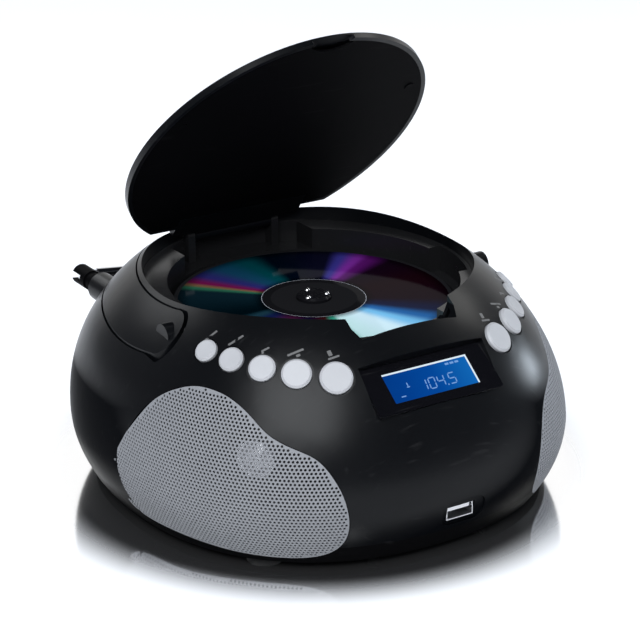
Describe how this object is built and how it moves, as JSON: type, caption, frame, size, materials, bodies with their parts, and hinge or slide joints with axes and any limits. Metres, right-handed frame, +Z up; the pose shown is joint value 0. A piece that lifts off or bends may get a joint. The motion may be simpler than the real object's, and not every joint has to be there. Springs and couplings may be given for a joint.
{
  "type": "portable cd radio",
  "caption": "Rounded portable compact disc player and radio with an open hinged lid, a disc on its spindle, side speakers, keys, a display, a carrying handle and a folding aerial.",
  "frame": {"origin": "on the floor under the disc's axis, at the middle of the whole object's footprint", "axes": "+X to the right seen from the front, +Y to the back, +Z up"},
  "size_m": [0.2044, 0.2147, 0.1967],
  "materials": {
    "gloss_black": "high gloss",
    "matt_black": "matt",
    "well_black": "satin gloss",
    "grille_metal": "satin pierced sheet",
    "black_paper": "pressed paper",
    "dark_steel": "matt paint",
    "magnet_iron": "ferrite grey",
    "silver_key": "satin silver paint",
    "steel": "bright",
    "chromed": "polished",
    "dark_window": "clear over dark",
    "lit_panel": "lit blue",
    "board_green": "satin",
    "component_black": "satin",
    "rubber_black": "matt",
    "transformer_steel": "laminated",
    "socket_metal": "plated",
    "motor_metal": "zinc",
    "hub_plastic": "satin",
    "disc_mirror": "mirror under clear plastic",
    "pickup_metal": "die cast",
    "lens_glass": "coated",
    "white_plastic": "natural"
  },
  "bodies": {
    "base": {"upper_housing": "gloss_black", "lower_housing": "matt_black", "battery_door": "matt_black", "aerial_mount": "matt_black", "disc_deck": "well_black", "left_grille": "grille_metal", "right_grille": "grille_metal", "left_speaker_cone": "black_paper", "right_speaker_cone": "black_paper", "left_speaker_basket": "dark_steel", "right_speaker_basket": "dark_steel", "left_speaker_magnet": "magnet_iron", "right_speaker_magnet": "magnet_iron", "handle_pins": "steel", "lid_hinge_pin": "steel", "screws": "steel", "guide_rods": "steel", "battery_contacts": "steel", "display_window": "dark_window", "lcd_panel": "lit_panel", "display_board": "board_green", "key_boards": "board_green", "main_board": "board_green", "usb_board": "board_green", "board_parts": "component_black", "key_switches": "component_black", "aux_socket": "component_black", "ac_inlet": "component_black", "rubber_feet": "rubber_black", "damper_grommets": "rubber_black", "power_transformer": "transformer_steel", "usb_socket": "socket_metal", "spindle_motor": "motor_metal", "sled_motor": "motor_metal", "mechanism_chassis": "motor_metal"},
    "handle": {"handle": "gloss_black"},
    "lid": {"lid_cover": "gloss_black", "lid_liner": "matt_black"},
    "spindle": {"spindle_hub": "hub_plastic", "chuck_balls": "steel"},
    "disc": {"disc": "disc_mirror"},
    "pickup": {"optical_pickup": "pickup_metal", "pickup_lens": "lens_glass", "pickup_rack": "white_plastic"},
    "sled_gear": {"sled_gear": "white_plastic"},
    "aerial_knuckle": {"aerial_knuckle": "matt_black", "aerial_pin": "steel"},
    "aerial_outer": {"aerial_outer": "chromed"},
    "aerial_middle": {"aerial_middle": "chromed"},
    "aerial_tip": {"aerial_tip": "chromed"},
    "left_key_1": {"left_key_1": "silver_key"},
    "left_key_2": {"left_key_2": "silver_key"},
    "left_key_3": {"left_key_3": "silver_key"},
    "left_key_4": {"left_key_4": "silver_key"},
    "left_key_5": {"left_key_5": "silver_key"},
    "right_key_1": {"right_key_1": "silver_key"},
    "right_key_2": {"right_key_2": "silver_key"},
    "right_key_3": {"right_key_3": "silver_key"},
    "right_key_4": {"right_key_4": "silver_key"},
    "right_key_5": {"right_key_5": "silver_key"}
  },
  "joints": [
    {"name": "lid_hinge", "type": "hinge", "parent": "base", "child": "lid", "pos_m": [0, 0.0695, 0.0898], "axis": [-1, 0, 0], "range_deg": [-51.5, 0]},
    {"name": "handle_hinge", "type": "hinge", "parent": "base", "child": "handle", "pos_m": [0, -0.0115, 0.082], "axis": [1, 0, 0], "range_deg": [0, 3]},
    {"name": "left_key_1_press", "type": "slide", "parent": "base", "child": "left_key_1", "axis": [0.2995, 0.6981, -0.6504], "range_m": [0, 0.0008], "stiffness_N_per_m": 400},
    {"name": "left_key_2_press", "type": "slide", "parent": "base", "child": "left_key_2", "axis": [0.432, 0.6035, -0.6702], "range_m": [0, 0.0008], "stiffness_N_per_m": 400},
    {"name": "left_key_3_press", "type": "slide", "parent": "base", "child": "left_key_3", "axis": [0.5369, 0.4969, -0.6817], "range_m": [0, 0.0008], "stiffness_N_per_m": 400},
    {"name": "left_key_4_press", "type": "slide", "parent": "base", "child": "left_key_4", "axis": [0.6145, 0.3782, -0.6923], "range_m": [0, 0.0008], "stiffness_N_per_m": 400},
    {"name": "left_key_5_press", "type": "slide", "parent": "base", "child": "left_key_5", "axis": [0.6647, 0.2689, -0.6971], "range_m": [0, 0.0008], "stiffness_N_per_m": 400},
    {"name": "right_key_1_press", "type": "slide", "parent": "base", "child": "right_key_1", "axis": [-0.2995, 0.6981, -0.6504], "range_m": [0, 0.0008], "stiffness_N_per_m": 400},
    {"name": "right_key_2_press", "type": "slide", "parent": "base", "child": "right_key_2", "axis": [-0.432, 0.6035, -0.6702], "range_m": [0, 0.0008], "stiffness_N_per_m": 400},
    {"name": "right_key_3_press", "type": "slide", "parent": "base", "child": "right_key_3", "axis": [-0.5369, 0.4969, -0.6817], "range_m": [0, 0.0008], "stiffness_N_per_m": 400},
    {"name": "right_key_4_press", "type": "slide", "parent": "base", "child": "right_key_4", "axis": [-0.6145, 0.3782, -0.6923], "range_m": [0, 0.0008], "stiffness_N_per_m": 400},
    {"name": "right_key_5_press", "type": "slide", "parent": "base", "child": "right_key_5", "axis": [-0.6647, 0.2689, -0.6971], "range_m": [0, 0.0008], "stiffness_N_per_m": 400},
    {"name": "spindle_spin", "type": "hinge", "parent": "base", "child": "spindle", "pos_m": [0, 0, 0.077], "axis": [0, 0, 1], "continuous": true},
    {"name": "disc_lift", "type": "slide", "parent": "spindle", "child": "disc", "axis": [0, 0, 1], "range_m": [0, 0.012]},
    {"name": "pickup_slide", "type": "slide", "parent": "base", "child": "pickup", "axis": [1, 0, 0], "range_m": [-0.005, 0.024]},
    {"name": "sled_gear_spin", "type": "hinge", "parent": "base", "child": "sled_gear", "pos_m": [0.038, 0.0269, 0.067], "axis": [0, 0, 1], "range_deg": [-46, 216]},
    {"name": "aerial_swivel", "type": "hinge", "parent": "base", "child": "aerial_knuckle", "pos_m": [-0.0565, 0.1043, 0.067], "axis": [0, -1, 0], "range_deg": [0, 97]},
    {"name": "aerial_tilt", "type": "hinge", "parent": "aerial_knuckle", "child": "aerial_outer", "pos_m": [-0.0565, 0.1043, 0.067], "axis": [0.1219, 0, 0.9925], "range_deg": [0, 60]},
    {"name": "aerial_middle_slide", "type": "slide", "parent": "aerial_outer", "child": "aerial_middle", "axis": [0.9925, 0, -0.1219], "range_m": [0, 0.06]},
    {"name": "aerial_tip_slide", "type": "slide", "parent": "aerial_middle", "child": "aerial_tip", "axis": [0.9925, 0, -0.1219], "range_m": [0, 0.06]}
  ],
  "couplings": [
    {"joint": "sled_gear_spin", "follows": "pickup_slide", "rad_per_m": 156.25}
  ]
}
